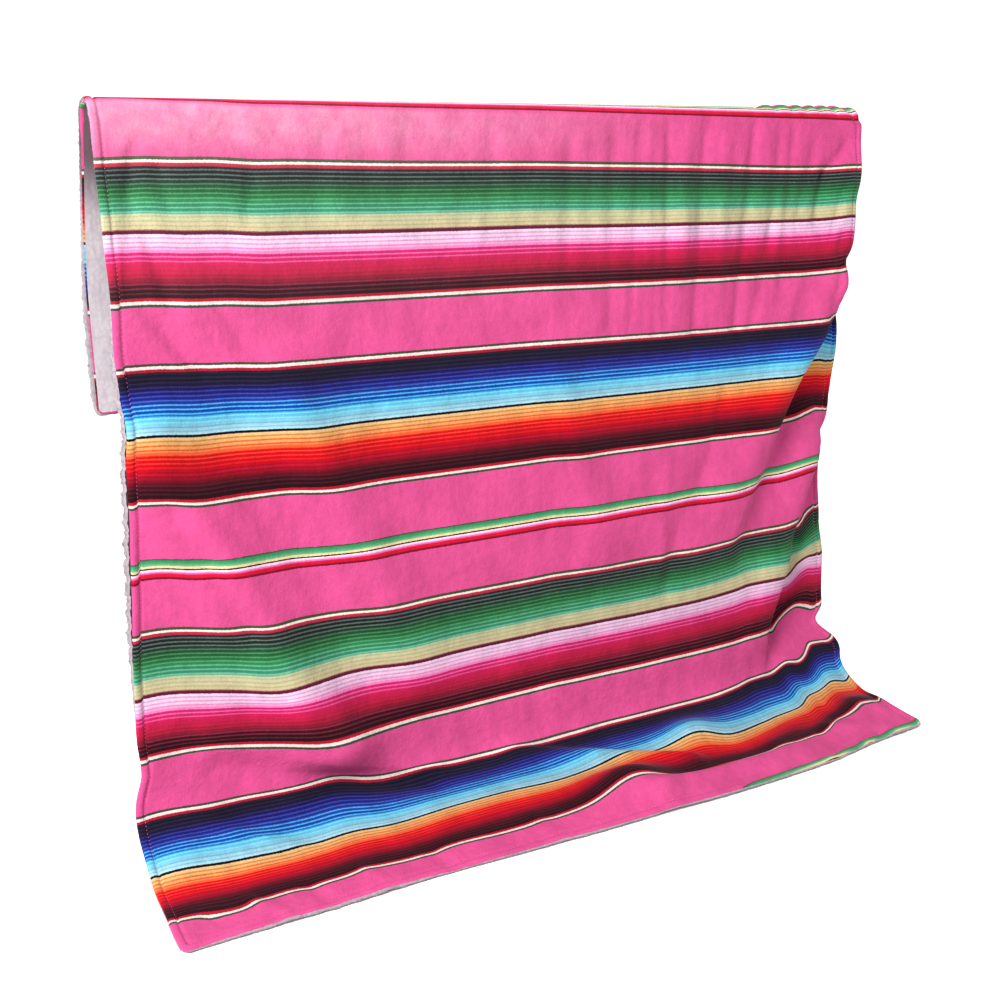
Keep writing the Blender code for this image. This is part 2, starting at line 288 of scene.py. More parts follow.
def alongLine(runs, run1, run2, ends):
    t = np.clip((runs - run1) / (run2 - run1), 0, 1)
    low, high = min(run1, run2), max(run1, run2)
    strength = smooth((runs - low + ends) / ends) * smooth((high + ends - runs) / ends)
    return t[:, None], strength[:, None]


def frontFolds(runs, across):
    out = np.zeros((len(runs), len(across)))
    for run1, across1, run2, across2, height1, height2, spread in ridges:
        t, strength = alongLine(runs, run1, run2, cloth["foldEnds"])
        middle = across1 + (across2 - across1) * t
        out += strength * (height1 + (height2 - height1) * t) * np.exp(-(((across - middle) / spread) ** 2))
    for run1, across1, run2, across2, depth1, depth2, width in pleats:
        t, strength = alongLine(runs, run1, run2, cloth["foldEnds"])
        edge = across1 + (across2 - across1) * t
        out -= strength * (depth1 + (depth2 - depth1) * t) * smooth((across - edge) / width + 0.5)
    return out


def footLift(runs, across):
    lift = np.zeros((len(runs), len(across)))
    for run, place, height, halfRun, halfAcross in humps:
        down = np.exp(-(((runs - run) / halfRun) ** 2))[:, None]
        lift += height * down * np.exp(-(((across - place) / halfAcross) ** 2))
    return lift


def drawnIn(forward, across):
    # the cloth keeps its width, so folds draw its edges in
    width = across * cloth["width"]
    slope = np.diff(forward, axis=1) / np.diff(width)
    step = np.sqrt(1 - np.clip(slope**2, 0, cloth["steepest"] ** 2)) * np.diff(width)
    x = np.concatenate([np.zeros((len(forward), 1)), np.cumsum(step, axis=1)], axis=1)
    atAnchor = np.array([np.interp(cloth["anchor"], across, row) for row in x])
    return x - atAnchor[:, None] + (cloth["anchor"] - 0.5) * cloth["width"]


def frontPanel(runs, across):
    forward, height = sectionGrid(frontSections, runs, across)
    sweep = np.array(hemSweep)
    sweep = curveThrough(across, sweep[:, 0], sweep[:, 1:])[:, 0]
    swept = smooth((runs - cloth["sweepStarts"]) / (cloth["sweepEnds"] - cloth["sweepStarts"]))
    forward = forward + frontFolds(runs, across) + sweep * swept[:, None]
    height = height + footLift(runs, across)
    x = drawnIn(forward, across)
    drift = (runs - cloth["footStarts"]) / (cloth["footEnds"] - cloth["footStarts"])
    x = x + cloth["footDrift"] * smooth(drift)[:, None]
    shifts, reach = np.array(edgeShifts), cloth["edgeReach"]
    left, right = curveThrough(runs, shifts[:, 0], shifts[:, 1:]).T[:, :, None]
    x = x + left * (1 - smooth(across / reach)) + right * smooth((across - 1) / reach + 1)
    return np.stack([x, -forward, height - cloth["railHeight"]], axis=-1)


def backPanel(runs, across):
    back, height = sectionGrid(backSections, runs, across)
    grown = smooth(runs / cloth["backRun"])[:, None]
    for place, wave, spread in backWaves:
        back = back + wave * grown * np.exp(-(((across - place) / spread) ** 2))
    return np.stack([drawnIn(back, across), back, height - cloth["railHeight"]], axis=-1)


def wrapOverRail(angles, across):
    x = np.broadcast_to((across - 0.5) * cloth["width"], (len(angles), len(across)))
    y = np.broadcast_to((cloth["crestRadius"] * np.cos(angles))[:, None], x.shape)
    z = np.broadcast_to((cloth["crestRadius"] * np.sin(angles))[:, None], x.shape)
    return np.stack([x, y, z], axis=-1)


def outwardNormals(points):
    normals = -np.cross(np.gradient(points, axis=1), np.gradient(points, axis=0))
    return normals / np.linalg.norm(normals, axis=2, keepdims=True)


def places(total, step, edgeStep, edgeBand):
    # places along a side of the cloth, closer together in the sewn band at each end
    inner = np.linspace(edgeBand, total - edgeBand, max(2, round((total - 2 * edgeBand) / step)) + 1)
    ends = np.linspace(0, edgeBand, round(edgeBand / edgeStep) + 1)[:-1]
    return np.concatenate([ends, inner, total - ends[::-1]])


def clothFace(step, trim):
    # the outer face, trimmed in from every edge, as rows from the back hem over the crest to the front hem
    r = cloth["crestRadius"]
    quarter = r * math.pi / 2
    across = places(cloth["width"] - 2 * trim, step, cloth["bandStep"], cloth["sewnBand"]) + trim
    across = across / cloth["width"]
    total = cloth["backRun"] + cloth["frontRun"] - 2 * trim
    runs = places(total, step, cloth["bandStep"], cloth["sewnBand"]) + trim - cloth["backRun"]
    apart = 0.001
    backRuns, frontRuns = runs[runs < -quarter - apart], runs[runs > quarter + apart]
    wrapRuns = np.linspace(-quarter, quarter, cloth["wrapRows"])
    back = backPanel(-backRuns, across)
    wrap = wrapOverRail(math.pi / 2 + wrapRuns / r, across)
    front = frontPanel(frontRuns, across)
    runs = np.concatenate([backRuns, wrapRuns, frontRuns])
    return np.concatenate([back, wrap, front]), runs, across


def creaseHeights(runs, across):
    x, y = (across * cloth["width"])[None, :], runs[:, None]
    height = np.zeros((len(runs), len(across)))
    for run1, across1, run2, across2, rise1, rise2, leftHalf, rightHalf in creases:
        stepX, stepY = (across2 - across1) * cloth["width"], run2 - run1
        length = math.hypot(stepX, stepY)
        alongX, alongY = stepX / length, stepY / length
        offX, offY = x - across1 * cloth["width"], y - run1
        along, aside = offX * alongX + offY * alongY, offY * alongX - offX * alongY
        ends = min(cloth["creaseEnds"], length / 2)
        strength = smooth((along + ends) / ends) * smooth((length + ends - along) / ends)
        half = np.where(aside > 0, leftHalf, rightHalf) / 1000
        rise = rise1 + (rise2 - rise1) * np.clip(along / length, 0, 1)
        height += strength * rise / 1000 * np.exp(-((aside / half) ** 2))
    return height


# The print: how far each place is down the chart

printing = {
    "repeat": 0.603,
    "stitchIn": 0.0115,  # the topstitching, in from the edge
    "jogFrom": 0.0125,  # the print slips at the stitching, from here in to nothing over the next figure
    "jogOver": 0.003,
}
# run, how far the sewn side bands pull the print down, in millimetres
stitchJogs = (
    (-0.40, 0.0),
    (0.00, 0.0),
    (0.20, 0.8),
    (0.33, 3.0),
    (0.42, 1.5),
    (0.50, 2.5),
    (0.58, 4.0),
    (0.70, 3.5),
    (0.80, 2.5),
    (0.92, 0.8),
    (1.18, 0.0),
)
# how far down the front from the crest the chart's zero lies, in millimetres, by the place across
printZeros = (
    (0.00, 8.5),
    (0.04, 9.0),
    (0.08, 12.5),
    (0.12, 14.0),
    (0.16, 17.6),
    (0.20, 18.3),
    (0.30, 20.0),
    (0.42, 21.5),
    (0.50, 22.3),
    (0.58, 24.5),
    (0.70, 26.8),
    (0.78, 27.5),
    (0.88, 27.8),
    (1.00, 29.0),
)
# where the print has drifted from that: run, across, millimetres, half length along the run and across
printDrifts = (
    (0.09, 0.00, 5, 0.07, 0.06),
    (0.09, 0.90, 6, 0.07, 0.14),
    (0.09, 0.20, -1.5, 0.07, 0.07),
    (0.09, 1.00, 4, 0.08, 0.05),
    (0.45, 0.00, -3, 0.06, 0.05),
    (0.43, 0.975, 10, 0.05, 0.025),
    (0.52, 0.945, 9, 0.04, 0.045),
    (0.61, 0.980, 20, 0.05, 0.026),
    (0.61, 0.860, -5, 0.05, 0.040),
    (0.60, 0.200, 2.5, 0.04, 0.04),
    (0.71, 0.960, 30, 0.045, 0.022),
    (0.74, 0.820, -5, 0.08, 0.060),
    (0.70, 0.957, 13, 0.05, 0.020),
    (0.79, 0.938, 30, 0.04, 0.022),
    (0.94, 0.975, 12, 0.20, 0.028),
    (0.93, 0.925, 9, 0.05, 0.022),
    (0.79, 0.130, 8, 0.04, 0.060),
    (0.88, 0.908, 24, 0.04, 0.024),
    (0.88, 0.975, 11, 0.04, 0.025),
    (0.88, 0.260, 6, 0.04, 0.110),
    (0.88, 0.075, -7, 0.03, 0.030),
    (0.96, 0.190, -10, 0.035, 0.100),
    (0.96, 0.500, 5, 0.035, 0.060),
    (0.96, 0.840, -9, 0.035, 0.050),
    (0.96, 0.930, 10, 0.035, 0.030),
    (1.06, 0.090, 8, 0.035, 0.110),
    (1.06, 0.480, 12, 0.045, 0.070),
    (1.06, 0.740, 12, 0.040, 0.050),
    (1.06, 0.910, 12, 0.030, 0.020),
    (1.07, 0.970, 11, 0.060, 0.030),
    (1.14, 0.955, 8, 0.050, 0.040),
    (1.14, 0.060, 14, 0.030, 0.045),
    (1.14, 0.310, -7, 0.030, 0.050),
    (1.14, 0.850, -14, 0.030, 0.060),
    (1.14, 0.960, 9, 0.030, 0.040),
    (1.19, 0.780, -34, 0.035, 0.130),
    (1.19, 0.860, -8, 0.035, 0.040),
    (1.19, 0.915, -1, 0.035, 0.030),
    (1.19, 0.975, 8, 0.035, 0.028),
    (1.19, 1.000, -4, 0.035, 0.030),
)


def downTheChart(points, runs, across):
    # the true distance along the cloth from the crest, less where the print starts there
    steps = np.linalg.norm(np.diff(points, axis=0), axis=2)
    along = np.concatenate([np.zeros((1, points.shape[1])), np.cumsum(steps, axis=0)])
    along = along - along[int(np.argmin(np.abs(runs)))]
    zeros = np.array(printZeros)
    zero = np.broadcast_to(curveThrough(across, zeros[:, 0], zeros[:, 1:])[:, 0], along.shape).copy()
    for run, place, drift, halfRun, halfAcross in printDrifts:
        down = np.exp(-(((runs - run) / halfRun) ** 2))[:, None]
        zero += drift * down * np.exp(-(((across - place) / halfAcross) ** 2))
    return along - zero / 1000


# The sewn edge: both layers are cut a little inside it and roll over to it all round

sewnEdge = {
    "roll": 0.0033,
    "rollTurns": (25, 50, 75, 100, 125, 150, 165),  # degrees
    "tucks": ((0.0012, 0.0), (0.0022, 0.0008)),  # how far in behind the edge it ends, and further on the back
    "tuckDeep": 0.0003,
    "rollOverFloor": 0.0012,
    "groove": 0.0022,  # how deep the topstitching pulls the plush in
    "grooveHalf": 0.0016,
    "swell": 0.0009,  # how far the band outside the stitching stands out
    "swellHalf": 0.004,
    "corner": 0.010,
    "curlBand": 0.016,
}
# run, how far the edge curls to the front there, in millimetres: left side, right side
edgeCurls = (
    (-0.40, 0.0, 0.0),
    (0.00, 0.0, 0.0),
    (0.20, 0.0, 0.5),
    (0.36, 2.0, 0.0),
    (0.55, 3.0, 0.0),
    (0.75, 2.5, 0.5),
    (0.90, 0.5, 1.0),
    (1.08, 1.0, 2.5),
    (1.18, 0.0, 1.5),
)


def roundedCorners(grids, sideIn, hemIn, trim):
    # slides the places near each corner on to a quarter circle, so that the trimmed edge turns smoothly
    radius = sewnEdge["corner"]
    a = np.clip((radius - sideIn) / (radius - trim), 0, 1)[None, :]
    b = np.clip((radius - hemIn) / (radius - trim), 0, 1)[:, None]
    bent = (a > 0) & (b > 0)
    columns, rows = len(sideIn), len(hemIn)
    column = np.broadcast_to(np.arange(columns, dtype=float), bent.shape).copy()
    row = np.broadcast_to(np.arange(rows, dtype=float)[:, None], bent.shape).copy()
    newSide = radius - (radius - trim) * a * np.sqrt(1 - b * b / 2)
    newHem = radius - (radius - trim) * b * np.sqrt(1 - a * a / 2)
    fromSide = np.interp(newSide, sideIn[: columns // 2], np.arange(columns // 2))
    fromHem = np.interp(newHem, hemIn[: rows // 2], np.arange(rows // 2))
    column[bent] = np.where(column < columns / 2, fromSide, columns - 1 - fromSide)[bent]
    row[bent] = np.where(row < rows / 2, fromHem, rows - 1 - fromHem)[bent]
    i, j = np.minimum(row.astype(int), rows - 2), np.minimum(column.astype(int), columns - 2)
    s, t = (row - i)[..., None], (column - j)[..., None]
    slid = []
    for g in grids:
        nearRow = g[i, j] * (1 - t) + g[i, j + 1] * t
        nextRow = g[i + 1, j] * (1 - t) + g[i + 1, j + 1] * t
        slid.append(nearRow * (1 - s) + nextRow * s)
    return slid


def clothShape(step, trim):
    base, runs, across = clothFace(step, trim)
    normals = outwardNormals(base)
    points = base + normals * creaseHeights(runs, across)[..., None]
    side = np.minimum(across, 1 - across) * cloth["width"]
    hem = np.minimum(runs + cloth["backRun"], cloth["frontRun"] - runs)
    curls = np.array(edgeCurls)
    curl = curveThrough(runs, curls[:, 0], curls[:, 1:]) / 1000
    out = np.clip(1 - side / sewnEdge["curlBand"], 0, 1) ** 2
    curl = np.where(across < 0.5, curl[:, 0:1], curl[:, 1:2])
    points = points + normals * (curl * out)[..., None]
    chart = downTheChart(base, runs, across)
    flat = np.stack([np.broadcast_to(across * cloth["width"], chart.shape), chart], axis=-1)
    fromSides, fromHems = np.broadcast_to(side, chart.shape), np.broadcast_to(hem[:, None], chart.shape)
    inward = np.stack([fromSides, fromHems], axis=-1)
    return roundedCorners([points, normals, flat, inward], side, hem, trim) + [runs, across]


def offTheRail(points):
    away = np.maximum(np.hypot(points[..., 1], points[..., 2]), 1e-9)
    push = np.maximum((cloth["railRadius"] + cloth["offRail"]) / away, 1.0)
    return points * np.stack([np.ones_like(push), push, push], axis=-1)


def aboveFloor(points, clearance):
    height = np.maximum(points[..., 2:], clearance - cloth["railHeight"])
    return np.concatenate([points[..., :2], height], axis=-1)


def grooveDepth(inward):
    # the topstitching's groove, and the soft band that swells outside it
    distance = inward.min(axis=-1)
    at, edge = printing["stitchIn"], sewnEdge
    groove = edge["groove"] * np.exp(-(((distance - at) / edge["grooveHalf"]) ** 2))
    swell = edge["swell"] * np.exp(-(((distance - at * 0.5) / edge["swellHalf"]) ** 2))
    return (swell - groove)[..., None]


def rimLoop(rows, columns):
    # the grid's rim, once round, as the numbers of its points
    index = np.arange(rows * columns).reshape(rows, columns)
    return np.concatenate([index[0, :-1], index[:-1, -1], index[-1, :0:-1], index[:0:-1, 0]])


def rimDirections(points, normals, flat):
    # straight out from the rim, in space and on the flat cloth
    ahead = np.roll(points, -1, axis=0) - np.roll(points, 1, axis=0)
    out = np.cross(normals, ahead)
    flatAhead = np.roll(flat, -1, axis=0) - np.roll(flat, 1, axis=0)
    flatOut = np.stack([flatAhead[:, 1], -flatAhead[:, 0]], axis=-1)
    unit = lambda v: v / np.maximum(np.linalg.norm(v, axis=1, keepdims=True), 1e-9)
    return unit(out), unit(flatOut)


def rolledRim(points, normals, flat, profile):
    # rings that go on from the rim: each step of the profile is (out, in from the face), arrays or numbers
    out, flatOut = rimDirections(points, normals, flat)
    rings, flatRings = [], []
    gone, last = np.zeros(len(points)), (0.0, 0.0)
    for wide, deep in profile:
        gone = gone + np.hypot(wide - last[0], deep - last[1])
        last = (wide, deep)
        rings.append(points + out * np.reshape(wide, (-1, 1)) - normals * np.reshape(deep, (-1, 1)))
        flatRings.append(flat + flatOut * gone[:, None])
    return rings, flatRings


def clothObject(name, points, flat, loop, rings, flatRings, flip=False):
    # one smooth mesh of a grid and the rings that go on from its rim, with its flat places as its map
    rows, columns = points.shape[:2]
    index = np.arange(rows * columns).reshape(rows, columns)
    quads = np.stack([index[:-1, :-1], index[1:, :-1], index[1:, 1:], index[:-1, 1:]], axis=-1)
    faces = [quads.reshape(-1, 4)]
    places3, places2 = [points.reshape(-1, 3)], [flat.reshape(-1, 2)]
    inner, start = loop, rows * columns
    for ring, flatRing in zip(rings, flatRings):
        outer = start + np.arange(len(ring))
        faces.append(np.stack([inner, np.roll(inner, -1), np.roll(outer, -1), outer], axis=-1))
        places3.append(ring)
        places2.append(flatRing)
        inner, start = outer, start + len(ring)
    faces = np.concatenate(faces)
    if flip:
        faces = faces[:, ::-1]
    return meshObject(name, np.concatenate(places3), faces, np.concatenate(places2))


def meshObject(name, points, faces, flat=None):
    mesh = bpy.data.meshes.new(name)
    mesh.from_pydata(np.asarray(points).tolist(), [], [list(map(int, face)) for face in faces])
    if flat is not None:
        layer = mesh.uv_layers.new(name="cloth")
        corners = np.empty(len(mesh.loops), dtype=np.int32)
        mesh.loops.foreach_get("vertex_index", corners)
        layer.data.foreach_set("uv", flat[corners].astype(np.float32).ravel())
    mesh.shade_smooth()
    piece = bpy.data.objects.new(name, mesh)
    bpy.context.scene.collection.objects.link(piece)
    return piece


def makePlush():
    trim = sewnEdge["roll"]
    points, normals, flat, inward, runs, across = clothShape(cloth["plushStep"], trim)
    points = aboveFloor(points + normals * grooveDepth(inward), cloth["faceOverFloor"])
    jogs = np.array(stitchJogs)
    jog = curveThrough(runs, jogs[:, 0], jogs[:, 1:]) / 1000
    outside = smooth((printing["jogFrom"] - inward[..., 0]) / printing["jogOver"])
    flat = np.stack([flat[..., 0], flat[..., 1] - jog * outside], axis=-1)
    loop = rimLoop(*points.shape[:2])
    rim, rimNormals, rimFlat = (g.reshape(-1, g.shape[-1])[loop] for g in (points, normals, flat))
    # round the edge, and a little way back behind it; on the back panel the plush rolls further in
    onBack = smooth(-np.repeat(runs, len(across))[loop] / 0.05)
    turns = np.radians(sewnEdge["rollTurns"])
    profile = [(trim * math.sin(a), trim * (1 - math.cos(a))) for a in turns]
    wide, deep = profile[-1]
    deep += sewnEdge["tuckDeep"]
    profile += [(wide - tuck - more * onBack, deep) for tuck, more in sewnEdge["tucks"]]
    rings, flatRings = rolledRim(rim, rimNormals, rimFlat, profile)
    rings = [aboveFloor(ring, sewnEdge["rollOverFloor"]) for ring in rings]
    return clothObject("plush_cloth", points, flat, loop, rings, flatRings)


sherpa = {
    "trim": 0.004,
    "lump": 0.0008,
    "lumpTurns": ((210, 130), (190, 120)),  # radians a metre, across and down the cloth
    "pressedTo": 0.032,  # the rail presses the pile flat from the crest down to here
    "freeOver": 0.03,  # and it stands free again after this
    "overFloor": 0.0003,
    "backHemShare": 0.4,  # of what shows along the front hem
    "rimStep": 0.0021,
    "rimSmoothing": 8,  # steps to either side
    "rimUnder": 0.0016,  # how much thinner than the wall the rolled rim is
    "rimInset": 0.0005,
    "scallop": 0.35,
    "scallopLength": 0.031,
    # metres high, radians a metre, shift from ring to ring, seed
    "curls": ((0.0006, 900, 1.7, 5.0), (0.0004, 2100, 2.9, 1.0)),
    "rimTurns": (0, 25, 50, 75, 100, 125, 150),  # degrees
}
# How far the fleece shows past the plush, in millimetres: run, left side, right side
fleeceShows = (
    (-0.40, 3.5, 0.5),
    (-0.27, 3.5, 0.5),
    (-0.20, 1.5, 0.0),
    (-0.05, 1.0, 0.0),
    (0.16, 0.0, 0.0),
    (0.26, 0.5, 0.0),
    (0.34, 3.5, 0.5),
    (0.44, 6.5, 1.0),
    (0.58, 8.0, 1.0),
    (0.68, 7.0, 1.0),
    (0.74, 3.5, 0.8),
    (0.80, 1.0, 0.5),
    (0.92, 0.0, 0.5),
    (1.02, 0.5, 1.0),
    (1.12, 1.0, 1.5),
    (1.18, 0.5, 2.0),
)
# the same along the front hem: place across, how far
hemFleeceShows = (
    (0.00, 0.0),
    (0.05, 1.5),
    (0.14, 3.0),
    (0.22, 3.0),
    (0.28, 0.8),
    (0.38, 1.2),
    (0.46, 2.0),
    (0.56, 0.8),
    (0.64, 1.6),
    (0.76, 1.0),
    (0.86, 1.6),
    (0.93, 1.5),
    (0.97, 3.0),
    (1.00, 1.5),
)


def wobble(x, seed):
    # an uneven, repeatable swing between about -1 and 1
    return (np.sin(x + seed) + 0.6 * np.sin(x * 2.3 + seed * 2.1) + 0.4 * np.sin(x * 4.1 + seed * 0.7)) / 2


def rimShowing(runs, across):
    # how far the fleece shows round the rim: along the back hem, down the right, the front hem, up the left
    shows, hemShows = np.array(fleeceShows), np.array(hemFleeceShows)
    bySide = curveThrough(runs, shows[:, 0], shows[:, 1:])
    byHem = curveThrough(across, hemShows[:, 0], hemShows[:, 1:])[:, 0]
    backHem = byHem[:-1] * sherpa["backHemShare"]
    return np.concatenate([backHem, bySide[:-1, 1], byHem[:0:-1], bySide[:0:-1, 0]]) / 1000


def makeFleece():
    trim = sherpa["trim"]
    points, normals, flat, inward, runs, across = clothShape(cloth["fleeceStep"], trim)
    # the curled pile stands in soft lumps off its ground, except round the rail
    u, v = flat[..., 0], flat[..., 1]
    (acrossTurns, acrossBend), (downTurns, downBend) = sherpa["lumpTurns"]
    lump = wobble(u * acrossTurns + 2 * np.sin(v * acrossBend), 1.3)
    lump = lump * wobble(v * downTurns + 2 * np.sin(u * downBend), 4.2)
    free = smooth((np.abs(runs) - sherpa["pressedTo"]) / sherpa["freeOver"])[:, None]
    wall = cloth["squeezed"] + (cloth["wall"] - cloth["squeezed"]) * free
    deep = (wall + sherpa["lump"] * lump * free)[..., None]
    inner = offTheRail(aboveFloor(points - normals * deep, sherpa["overFloor"]))
    loop = rimLoop(*points.shape[:2])
    rim, rimNormals, rimFlat = (g.reshape(-1, g.shape[-1])[loop] for g in (points, normals, flat))
    amount = rimShowing(runs, across)
    # the rim again in finer steps, so that its curls can be drawn
    along = np.concatenate([[0], np.cumsum(np.linalg.norm(np.diff(rim, axis=0), axis=1))])
    fine = np.linspace(0, along[-1], int(along[-1] / sherpa["rimStep"]))
    rim, rimNormals, rimFlat = (
        np.stack([np.interp(fine, along, g[:, axis]) for axis in range(g.shape[1])], axis=-1)
        for g in (rim, rimNormals, rimFlat)
    )
    aside = sherpa["rimSmoothing"]
    amount = np.pad(np.interp(fine, along, amount), aside, mode="wrap")
    amount = np.convolve(amount, np.ones(2 * aside + 1) / (2 * aside + 1), mode="valid")
    thick = cloth["wall"] - sherpa["rimUnder"]
    rimWall = np.interp(fine, along, np.broadcast_to(wall, points.shape[:2]).ravel()[loop])[:, None]
    start = rim - rimNormals * (rimWall - sherpa["rimInset"])
    scallop = 1 + sherpa["scallop"] * wobble(fine * 2 * math.pi / sherpa["scallopLength"], 2.0)
    profile = []
    for k, angle in enumerate(np.radians(sherpa["rimTurns"])):
        curl = 0.0
        for high, turns, shift, seed in sherpa["curls"]:
            curl = curl + high * wobble(fine * turns + k * shift, seed + k)
        reach = (trim - 0.0004 + amount * scallop) * math.sin(angle) + curl * math.sin(angle)
        # the first ring starts a little way in, under the fleece's own edge
        profile.append((reach - 0.003 * (angle == 0), -thick / 2 * (1 - math.cos(angle)) - 0.0002))
    rings, flatRings = rolledRim(start, rimNormals, rimFlat, profile)
    rings = [offTheRail(aboveFloor(ring, 0.0002)) for ring in rings]
    body = clothObject("fleece_cloth", inner, flat, loop, [], [], flip=True)
    band = np.arange(len(fine) * len(rings)).reshape(len(rings), len(fine))
    turned = np.roll(band, -1, axis=1)
    quads = np.stack([band[:-1], band[1:], turned[1:], turned[:-1]], axis=-1).reshape(-1, 4)
    edge = meshObject("fleece_rim", np.concatenate(rings), quads, np.concatenate(flatRings))
    return body, edge, (rings, fine, amount, rimNormals)


# The topstitching: one thread stitch after another all round, sunk in its groove

stitching = {
    "length": 0.0040,
    "gap": 0.0012,
    "radius": 0.00042,
    "sunk": 0.0003,
    "rise": 0.0005,  # from its ends to its middle
    "sides": 6,
    # part of the length, part of the radius
    "fatness": ((0, 0.2), (0.18, 0.85), (0.5, 1.0), (0.82, 0.85), (1, 0.2)),
}


def stitchLines():
    # four lines, each as points and as normals: front hem, back hem, left side, right side
    points, normals, flat, inward, runs, across = clothShape(cloth["plushStep"], 0.0)
    points = aboveFloor(points + normals * grooveDepth(inward), cloth["faceOverFloor"])
    at = printing["stitchIn"]
    keepRows = np.flatnonzero(inward[:, len(across) // 2, 1] > at)
    keepColumns = np.flatnonzero(inward[len(runs) // 2, :, 0] > at)
    threeOf = lambda x, known, line: [np.interp(x, known, line[:, axis]) for axis in range(3)]
    byRun = lambda g, run: np.stack([threeOf(run, runs, g[:, c]) for c in keepColumns])
    byPlace = lambda g, place: np.stack([threeOf(place, across, g[r]) for r in keepRows])
    hems = (cloth["frontRun"] - at, at - cloth["backRun"])
    sides = (at / cloth["width"], 1 - at / cloth["width"])
    lines = [(byRun(points, run), byRun(normals, run)) for run in hems]
    return lines + [(byPlace(points, place), byPlace(normals, place)) for place in sides]


def makeStitches():
    verts, faces, n = [], [], stitching["sides"]
    for line, normal in stitchLines():
        along = np.concatenate([[0], np.cumsum(np.linalg.norm(np.diff(line, axis=0), axis=1))])
        pitch = stitching["length"] + stitching["gap"]
        onLine = lambda g, d: np.array([np.interp(d, along, g[:, axis]) for axis in range(3)])
        for k in range(int(along[-1] / pitch)):
            begin, ring = k * pitch + stitching["gap"] / 2, []
            for part, fat in stitching["fatness"]:
                d = begin + stitching["length"] * part
                middle, up = onLine(line, d), onLine(normal, d)
                side = np.cross(onLine(line, d + 0.001) - onLine(line, d - 0.001), up)
                side /= max(np.linalg.norm(side), 1e-9)
                rise = stitching["rise"] * math.sin(math.pi * part) - 0.0004
                middle = middle + up * (rise - stitching["sunk"])
                ring.append(len(verts))
                for s in range(n):
                    a = 2 * math.pi * s / n
                    spoke = side * math.cos(a) + up * math.sin(a)
                    verts.append(middle + spoke * stitching["radius"] * fat)
            for a, b in zip(ring[:-1], ring[1:]):
                faces += [(a + s, a + (s + 1) % n, b + (s + 1) % n, b + s) for s in range(n)]
            faces.append(tuple(range(ring[0] + n - 1, ring[0] - 1, -1)))
            faces.append(tuple(range(ring[-1], ring[-1] + n)))
    return meshObject("topstitching", verts, faces)


# Loose fibres that stand off the fleece's rim, curled and tapering

fluff = {
    "fibres": 9000,
    "length": 0.0035,
    "width": 0.00035,
    "seed": 7,
}


def makeFluff(rings, fine, amount, rimNormals):
    dice = np.random.default_rng(fluff["seed"])
    ring = np.array(rings)
    out = ring[3] - ring[0]
    out /= np.linalg.norm(out, axis=1, keepdims=True)
    ahead = np.roll(ring[3], -1, axis=0) - ring[3]
    ahead /= np.linalg.norm(ahead, axis=1, keepdims=True)
    chance = np.clip(amount, 0.0002, None)
    spots = dice.choice(len(fine), fluff["fibres"], p=chance / chance.sum())
    level = dice.integers(1, len(rings) - 1, fluff["fibres"])
    verts, faces = [], []
    for spot, k in zip(spots, level):
        angle = math.radians(sherpa["rimTurns"][k])
        away = out[spot] * math.sin(angle) - rimNormals[spot] * math.cos(angle)
        lean = ahead[spot] * dice.normal(0, 0.9) + rimNormals[spot] * dice.normal(0, 0.4)
        direction = away + lean * 0.7
        bend = dice.normal(0, 0.5, 3)
        length = fluff["length"] * dice.uniform(0.5, 1.2)
        side = np.cross(direction, dice.normal(0, 1, 3))
        side *= fluff["width"] / 2 / max(np.linalg.norm(side), 1e-9)
        place, first = ring[k][spot] - away * 0.0005, len(verts)
        for part in (0.0, 0.4, 0.75):
            middle = place + (direction * part + bend * part * part) * length * 0.8
            verts += [middle - side * (1 - part), middle + side * (1 - part)]
        verts.append(place + (direction + bend) * length * 0.8)
        faces += [(first, first + 1, first + 3, first + 2), (first + 2, first + 3, first + 5, first + 4)]
        faces.append((first + 4, first + 5, first + 6))
    verts = aboveFloor(np.array(verts), 0.0001)
    return meshObject("fleece_fluff", verts, faces)


# Materials

def linear(hexColour):
    parts = [int(hexColour[k : k + 2], 16) / 255 for k in (1, 3, 5)]
    return tuple(c / 12.92 if c <= 0.04045 else ((c + 0.055) / 1.055) ** 2.4 for c in parts) + (1.0,)


def newMaterial(name):
    material = bpy.data.materials.new(name)
    material.use_nodes = True
    return material, material.node_tree, material.node_tree.nodes["Principled BSDF"]


def addNode(tree, kind, settings=None, **links):
    # a node with its settings; its inputs are other nodes' outputs or plain values, and in3 is input number 3
    node = tree.nodes.new(kind)
    for key, value in (settings or {}).items():
        setattr(node, key, value)
    for key, value in links.items():
        numbered = key[:2] == "in" and key[2:].isdigit()
        socket = node.inputs[int(key[2:])] if numbered else node.inputs[key]
        if isinstance(value, bpy.types.NodeSocket):
            tree.links.new(value, socket)
        else:
            socket.default_value = value
    return node


